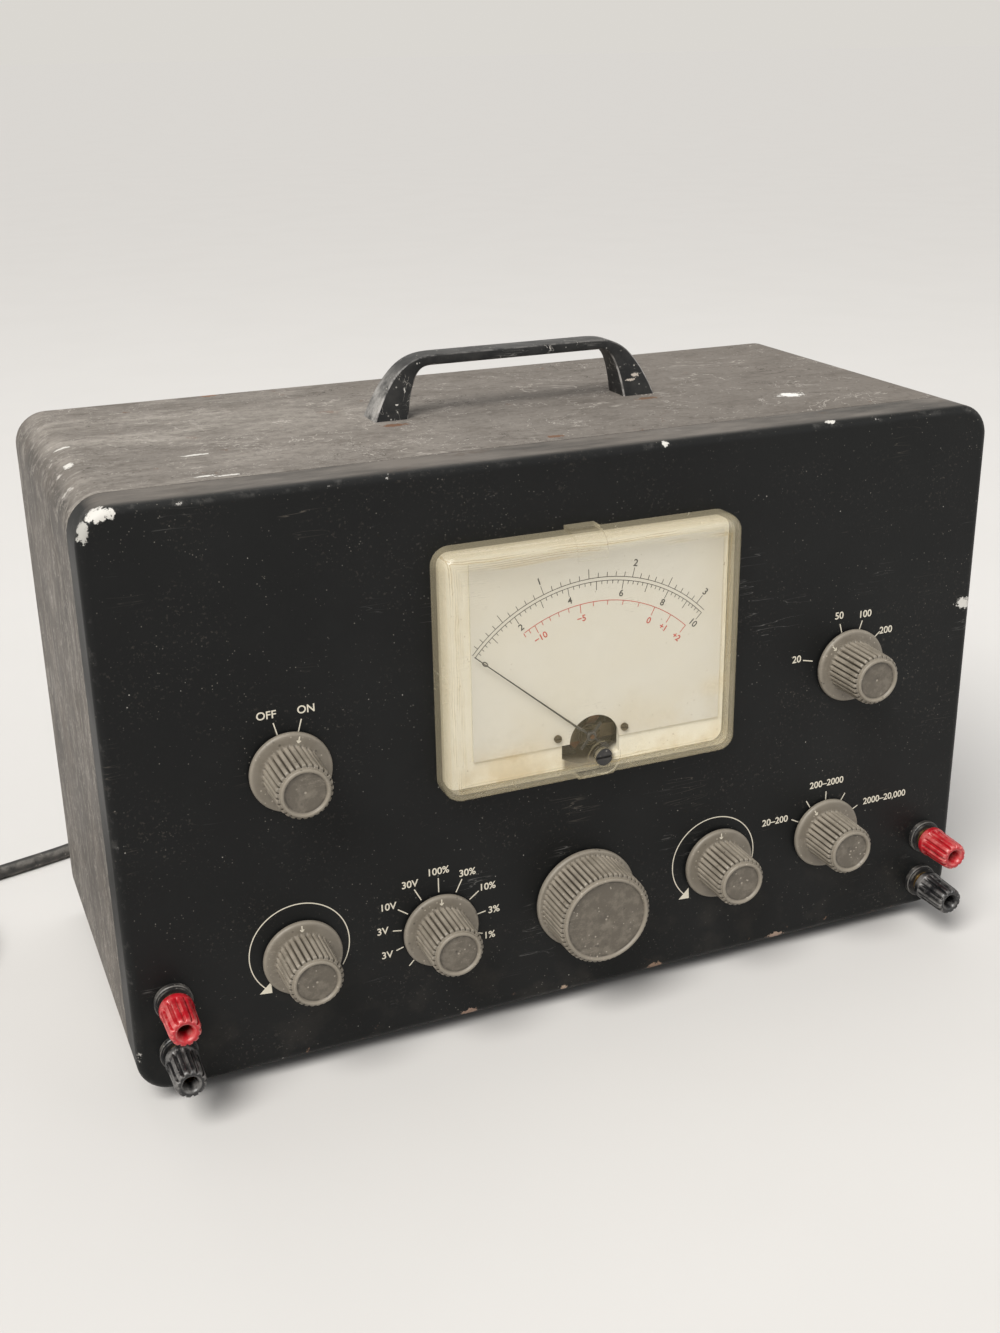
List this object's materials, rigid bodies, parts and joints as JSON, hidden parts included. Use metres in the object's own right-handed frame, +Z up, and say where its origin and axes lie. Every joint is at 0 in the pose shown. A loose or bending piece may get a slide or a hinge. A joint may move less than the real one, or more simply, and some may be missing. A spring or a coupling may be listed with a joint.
{
  "type": "harmonic distortion meter",
  "caption": "Bench audio test meter: black steel case with handle, large panel meter, fluted knobs, binding posts and a mains cord.",
  "frame": {"origin": "centre of the bounding box at its base, without the cord; the feet stand on z = 0", "axes": "+Z up, the front panel faces -Y, +X to the right seen from the front"},
  "size_m": [0.4942, 0.233, 0.234],
  "materials": {
    "panel_paint": "satin",
    "cabinet_paint": "dusty satin",
    "zinc_steel": "plated",
    "black_bar": "worn gloss",
    "rubber": "matte",
    "brass": "bare",
    "tie_band": "matte",
    "cream_plastic": "aged",
    "clear_cover": "clear, yellowed",
    "scale_card": "matte",
    "magnet_iron": "ground",
    "laminated_iron": "varnished",
    "winding_paper": "varnished",
    "aluminium": "bare",
    "black_plastic": "moulded",
    "red_plastic": "moulded",
    "tube_glass": "clear",
    "brown_phenolic": "laminate",
    "pot_metal": "plated",
    "knob_plastic": "moulded, worn",
    "shaft_steel": "plated",
    "pointer_paint": "matte",
    "coil_copper": "enamelled wire",
    "dial_string": "braided"
  },
  "bodies": {
    "case": {"front_panel": "panel_paint", "cabinet_shell": "cabinet_paint", "rear_cover": "cabinet_paint", "case_screws": "zinc_steel", "chassis": "zinc_steel", "handle": "black_bar", "feet": "rubber", "cord_grommet": "rubber", "power_cord": "rubber", "power_cord_coil": "rubber", "cord_plug": "rubber", "plug_prongs": "brass", "cord_tie": "tie_band", "meter_case": "cream_plastic", "meter_cover": "clear_cover", "scale_plate": "scale_card", "scale_screws": "zinc_steel", "meter_magnet": "magnet_iron", "meter_frame": "brass", "meter_hairspring": "brass", "meter_studs": "brass", "transformer_core": "laminated_iron", "transformer_winding": "winding_paper", "filter_capacitor": "aluminium", "tube_sockets": "black_plastic", "vacuum_tubes": "tube_glass", "post_insulators": "black_plastic", "post_studs": "brass", "control_nuts": "zinc_steel", "power_switch_body": "brown_phenolic", "pot_bodies": "pot_metal", "switch_frames": "zinc_steel", "switch_wafers": "brown_phenolic", "capacitor_frame": "aluminium", "dial_cord": "dial_string"},
    "power_control": {"power_knob": "knob_plastic", "power_shaft": "shaft_steel"},
    "level_control": {"level_knob": "knob_plastic", "level_shaft": "shaft_steel"},
    "sensitivity_control": {"sensitivity_knob": "knob_plastic", "sensitivity_rotor": "shaft_steel"},
    "range_control": {"range_knob": "knob_plastic", "range_rotor": "shaft_steel"},
    "balance_control": {"balance_knob": "knob_plastic", "balance_shaft": "shaft_steel"},
    "frequency_control": {"frequency_knob": "knob_plastic", "capacitor_rotor": "aluminium"},
    "tuning_control": {"tuning_knob": "knob_plastic", "tuning_shaft": "shaft_steel"},
    "pointer_movement": {"pointer": "pointer_paint", "moving_coil": "coil_copper"},
    "zero_adjuster_screw": {"zero_adjuster": "black_plastic"},
    "input_red_insert": {"input_red_insert": "brass"},
    "input_red_cap": {"input_red_cap": "red_plastic"},
    "input_black_insert": {"input_black_insert": "brass"},
    "input_black_cap": {"input_black_cap": "black_plastic"},
    "output_red_insert": {"output_red_insert": "brass"},
    "output_red_cap": {"output_red_cap": "red_plastic"},
    "output_black_insert": {"output_black_insert": "brass"},
    "output_black_cap": {"output_black_cap": "black_plastic"}
  },
  "joints": [
    {"name": "power_turn", "type": "hinge", "parent": "case", "child": "power_control", "pos_m": [-0.1056, -0.0637, 0.1173], "axis": [0, 1, 0], "range_deg": [-30, 0]},
    {"name": "level_turn", "type": "hinge", "parent": "case", "child": "level_control", "pos_m": [-0.106, -0.0637, 0.0473], "axis": [0, 1, 0], "range_deg": [-150, 150]},
    {"name": "sensitivity_turn", "type": "hinge", "parent": "case", "child": "sensitivity_control", "pos_m": [-0.0555, -0.0637, 0.0456], "axis": [0, 1, 0], "range_deg": [-138.5, 110.8]},
    {"name": "range_turn", "type": "hinge", "parent": "case", "child": "range_control", "pos_m": [0.1042, -0.0637, 0.05], "axis": [0, 1, 0], "range_deg": [-30, 90]},
    {"name": "balance_turn", "type": "hinge", "parent": "case", "child": "balance_control", "pos_m": [0.0567, -0.0637, 0.0473], "axis": [0, 1, 0], "range_deg": [-150, 150]},
    {"name": "frequency_turn", "type": "hinge", "parent": "case", "child": "frequency_control", "pos_m": [0.1102, -0.0637, 0.1189], "axis": [0, 1, 0], "range_deg": [-45, 135]},
    {"name": "tuning_turn", "type": "hinge", "parent": "case", "child": "tuning_control", "pos_m": [0.0011, -0.0637, 0.0454], "axis": [0, 1, 0], "range_deg": [-270, 810]},
    {"name": "pointer_swing", "type": "hinge", "parent": "case", "child": "pointer_movement", "pos_m": [0.0034, -0.0637, 0.1094], "axis": [0, 1, 0], "range_deg": [0, 95], "stiffness_Nm_per_rad": 0.0001},
    {"name": "zero_adjust_turn", "type": "hinge", "parent": "case", "child": "zero_adjuster_screw", "pos_m": [0.0032, -0.0637, 0.1058], "axis": [0, 1, 0], "range_deg": [-25, 25]},
    {"name": "input_red_travel", "type": "slide", "parent": "case", "child": "input_red_insert", "axis": [0, -1, 0], "range_m": [-0.0015, 0.003]},
    {"name": "input_red_turn", "type": "hinge", "parent": "input_red_insert", "child": "input_red_cap", "pos_m": [-0.151, -0.0737, 0.0412], "axis": [0, -1, 0], "range_deg": [-721, 1441]},
    {"name": "input_black_travel", "type": "slide", "parent": "case", "child": "input_black_insert", "axis": [0, -1, 0], "range_m": [-0.0015, 0.003]},
    {"name": "input_black_turn", "type": "hinge", "parent": "input_black_insert", "child": "input_black_cap", "pos_m": [-0.151, -0.0737, 0.0212], "axis": [0, -1, 0], "range_deg": [-721, 1441]},
    {"name": "output_red_travel", "type": "slide", "parent": "case", "child": "output_red_insert", "axis": [0, -1, 0], "range_m": [-0.0015, 0.003]},
    {"name": "output_red_turn", "type": "hinge", "parent": "output_red_insert", "child": "output_red_cap", "pos_m": [0.152, -0.0737, 0.0377], "axis": [0, -1, 0], "range_deg": [-721, 1441]},
    {"name": "output_black_travel", "type": "slide", "parent": "case", "child": "output_black_insert", "axis": [0, -1, 0], "range_m": [-0.0015, 0.003]},
    {"name": "output_black_turn", "type": "hinge", "parent": "output_black_insert", "child": "output_black_cap", "pos_m": [0.152, -0.0737, 0.0177], "axis": [0, -1, 0], "range_deg": [-721, 1441]}
  ],
  "couplings": [
    {"joint": "tuning_turn", "follows": "frequency_turn", "ratio": 6},
    {"joint": "input_red_turn", "follows": "input_red_travel", "rad_per_m": 8377.6},
    {"joint": "input_black_turn", "follows": "input_black_travel", "rad_per_m": 8377.6},
    {"joint": "output_red_turn", "follows": "output_red_travel", "rad_per_m": 8377.6},
    {"joint": "output_black_turn", "follows": "output_black_travel", "rad_per_m": 8377.6}
  ]
}
